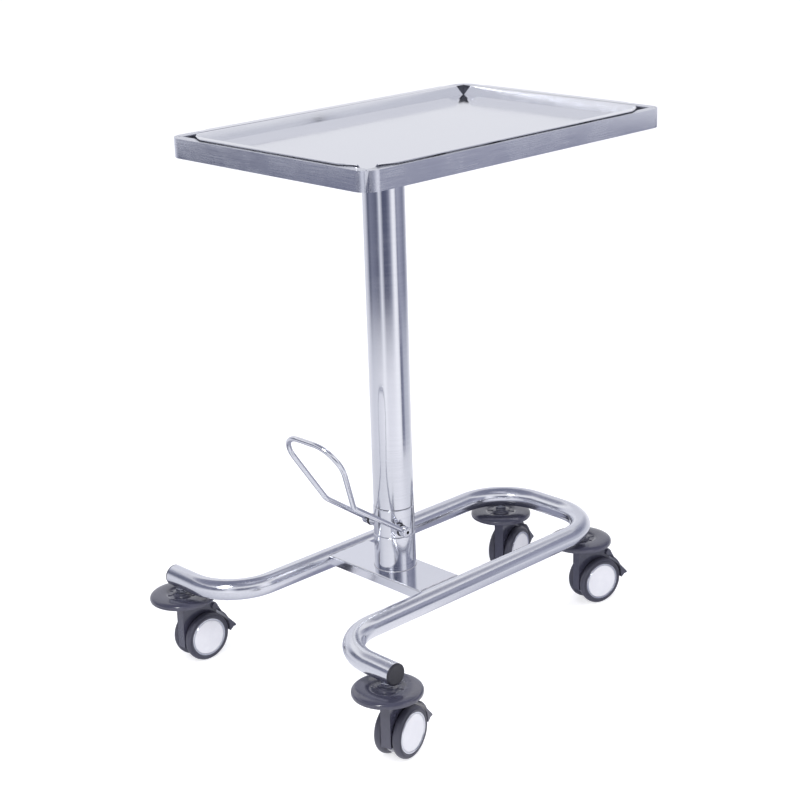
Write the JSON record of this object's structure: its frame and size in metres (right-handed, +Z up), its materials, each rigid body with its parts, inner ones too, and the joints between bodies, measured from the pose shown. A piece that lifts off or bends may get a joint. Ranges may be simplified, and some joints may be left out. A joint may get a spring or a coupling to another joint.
{
  "type": "instrument cart",
  "caption": "Height-adjustable stainless instrument cart: lift-off tray in a frame on a telescoping column, foot pedal, bent-tube base and braked casters.",
  "frame": {"origin": "on the floor under the middle of the whole cart's box", "axes": "+Z up along the column, +X from the pedal end towards the closed rear end of the base, +Y to the left of a user who faces +X"},
  "size_m": [0.7034, 0.552, 0.8205],
  "materials": {
    "polished_sheet": "polished stainless sheet",
    "satin_frame": "brushed stainless sheet",
    "polished_tube": "polished stainless tube",
    "plain_steel": "turned stainless",
    "nylon": "turned nylon",
    "brass": "turned",
    "cast_pump": "painted casting",
    "painted_cylinder": "gloss paint",
    "black_plastic": "moulded",
    "grey_plastic": "moulded, semi-gloss",
    "wheel_tyre": "moulded, matt",
    "white_cap": "moulded, gloss"
  },
  "bodies": {
    "base": {"base_tube": "polished_tube", "end_caps": "black_plastic", "base_plate": "polished_sheet", "lower_column": "polished_tube", "pedal_collar": "polished_tube", "pedal_bushes": "black_plastic", "inner_column": "polished_tube", "upper_bush": "nylon", "lift_cylinder": "painted_cylinder", "pump_block": "cast_pump", "fl_stem": "plain_steel", "fr_stem": "plain_steel", "rl_stem": "plain_steel", "rr_stem": "plain_steel"},
    "lift": {"lift_rod": "plain_steel"},
    "head": {"outer_column": "polished_tube", "lower_bush": "nylon", "thrust_bearing": "brass", "mounting_plate": "plain_steel", "mounting_screws": "plain_steel", "cross_rails": "satin_frame", "tray_frame": "satin_frame"},
    "tray": {"tray": "polished_sheet"},
    "pedal": {"pedal_pin": "plain_steel", "pedal_hubs": "plain_steel", "pedal_loop": "polished_tube", "pump_cam": "plain_steel"},
    "plunger": {"pump_plunger": "plain_steel"},
    "fl_caster": {"fl_bumper": "grey_plastic", "fl_fork": "grey_plastic", "fl_axle": "plain_steel"},
    "fl_wheel_inner": {"fl_wheel_in": "wheel_tyre", "fl_cap_in": "white_cap"},
    "fl_wheel_outer": {"fl_wheel_out": "wheel_tyre", "fl_cap_out": "white_cap"},
    "fl_brake_lever": {"fl_brake": "grey_plastic"},
    "fr_caster": {"fr_bumper": "grey_plastic", "fr_fork": "grey_plastic", "fr_axle": "plain_steel"},
    "fr_wheel_inner": {"fr_wheel_in": "wheel_tyre", "fr_cap_in": "white_cap"},
    "fr_wheel_outer": {"fr_wheel_out": "wheel_tyre", "fr_cap_out": "white_cap"},
    "fr_brake_lever": {"fr_brake": "grey_plastic"},
    "rl_caster": {"rl_bumper": "grey_plastic", "rl_fork": "grey_plastic", "rl_axle": "plain_steel"},
    "rl_wheel_inner": {"rl_wheel_in": "wheel_tyre", "rl_cap_in": "white_cap"},
    "rl_wheel_outer": {"rl_wheel_out": "wheel_tyre", "rl_cap_out": "white_cap"},
    "rl_brake_lever": {"rl_brake": "grey_plastic"},
    "rr_caster": {"rr_bumper": "grey_plastic", "rr_fork": "grey_plastic", "rr_axle": "plain_steel"},
    "rr_wheel_inner": {"rr_wheel_in": "wheel_tyre", "rr_cap_in": "white_cap"},
    "rr_wheel_outer": {"rr_wheel_out": "wheel_tyre", "rr_cap_out": "white_cap"},
    "rr_brake_lever": {"rr_brake": "grey_plastic"}
  },
  "joints": [
    {"name": "height", "type": "slide", "parent": "base", "child": "lift", "axis": [0, 0, 1], "range_m": [0, 0.32]},
    {"name": "head_turn", "type": "hinge", "parent": "lift", "child": "head", "pos_m": [-0.06468, 0, 0.79], "axis": [0, 0, 1], "continuous": true},
    {"name": "tray_lift_off", "type": "slide", "parent": "head", "child": "tray", "axis": [0, 0, 1], "range_m": [0, 0.06]},
    {"name": "pedal_press", "type": "hinge", "parent": "base", "child": "pedal", "pos_m": [-0.08068, 0, 0.222], "axis": [0, -1, 0], "range_deg": [0, 28], "stiffness_Nm_per_rad": 1.2, "springref_deg": -40.11},
    {"name": "plunger_stroke", "type": "slide", "parent": "base", "child": "plunger", "axis": [0, 0, -1], "range_m": [0, 0.003]},
    {"name": "fl_swivel", "type": "hinge", "parent": "base", "child": "fl_caster", "pos_m": [-0.30168, 0.226, 0.1], "axis": [0, 0, 1], "continuous": true},
    {"name": "fl_roll_inner", "type": "hinge", "parent": "fl_caster", "child": "fl_wheel_inner", "pos_m": [-0.27272, 0.22448, 0.038], "axis": [0.0523, 0.9986, 0], "continuous": true},
    {"name": "fl_roll_outer", "type": "hinge", "parent": "fl_caster", "child": "fl_wheel_outer", "pos_m": [-0.27272, 0.22448, 0.038], "axis": [0.0523, 0.9986, 0], "continuous": true},
    {"name": "fl_brake_press", "type": "hinge", "parent": "fl_caster", "child": "fl_brake_lever", "pos_m": [-0.25141, 0.22337, 0.07988], "axis": [0.0523, 0.9986, 0], "range_deg": [0, 5]},
    {"name": "fr_swivel", "type": "hinge", "parent": "base", "child": "fr_caster", "pos_m": [-0.30168, -0.226, 0.1], "axis": [0, 0, 1], "continuous": true},
    {"name": "fr_roll_inner", "type": "hinge", "parent": "fr_caster", "child": "fr_wheel_inner", "pos_m": [-0.27331, -0.21997, 0.038], "axis": [-0.2079, 0.9781, 0], "continuous": true},
    {"name": "fr_roll_outer", "type": "hinge", "parent": "fr_caster", "child": "fr_wheel_outer", "pos_m": [-0.27331, -0.21997, 0.038], "axis": [-0.2079, 0.9781, 0], "continuous": true},
    {"name": "fr_brake_press", "type": "hinge", "parent": "fr_caster", "child": "fr_brake_lever", "pos_m": [-0.25244, -0.21553, 0.07988], "axis": [-0.2079, 0.9781, 0], "range_deg": [0, 5]},
    {"name": "rl_swivel", "type": "hinge", "parent": "base", "child": "rl_caster", "pos_m": [0.26643, 0.0871, 0.1], "axis": [0, 0, 1], "continuous": true},
    {"name": "rl_roll_inner", "type": "hinge", "parent": "rl_caster", "child": "rl_wheel_inner", "pos_m": [0.29468, 0.09363, 0.038], "axis": [-0.225, 0.9744, 0], "continuous": true},
    {"name": "rl_roll_outer", "type": "hinge", "parent": "rl_caster", "child": "rl_wheel_outer", "pos_m": [0.29468, 0.09363, 0.038], "axis": [-0.225, 0.9744, 0], "continuous": true},
    {"name": "rl_brake_press", "type": "hinge", "parent": "rl_caster", "child": "rl_brake_lever", "pos_m": [0.31547, 0.09843, 0.07988], "axis": [-0.225, 0.9744, 0], "range_deg": [0, 5]},
    {"name": "rr_swivel", "type": "hinge", "parent": "base", "child": "rr_caster", "pos_m": [0.26643, -0.0871, 0.1], "axis": [0, 0, 1], "continuous": true},
    {"name": "rr_roll_inner", "type": "hinge", "parent": "rr_caster", "child": "rr_wheel_inner", "pos_m": [0.29468, -0.09363, 0.038], "axis": [0.225, 0.9744, 0], "continuous": true},
    {"name": "rr_roll_outer", "type": "hinge", "parent": "rr_caster", "child": "rr_wheel_outer", "pos_m": [0.29468, -0.09363, 0.038], "axis": [0.225, 0.9744, 0], "continuous": true},
    {"name": "rr_brake_press", "type": "hinge", "parent": "rr_caster", "child": "rr_brake_lever", "pos_m": [0.31547, -0.09843, 0.07988], "axis": [0.225, 0.9744, 0], "range_deg": [0, 5]}
  ],
  "couplings": [
    {"joint": "plunger_stroke", "follows": "pedal_press", "m_per_rad": 0.006}
  ]
}
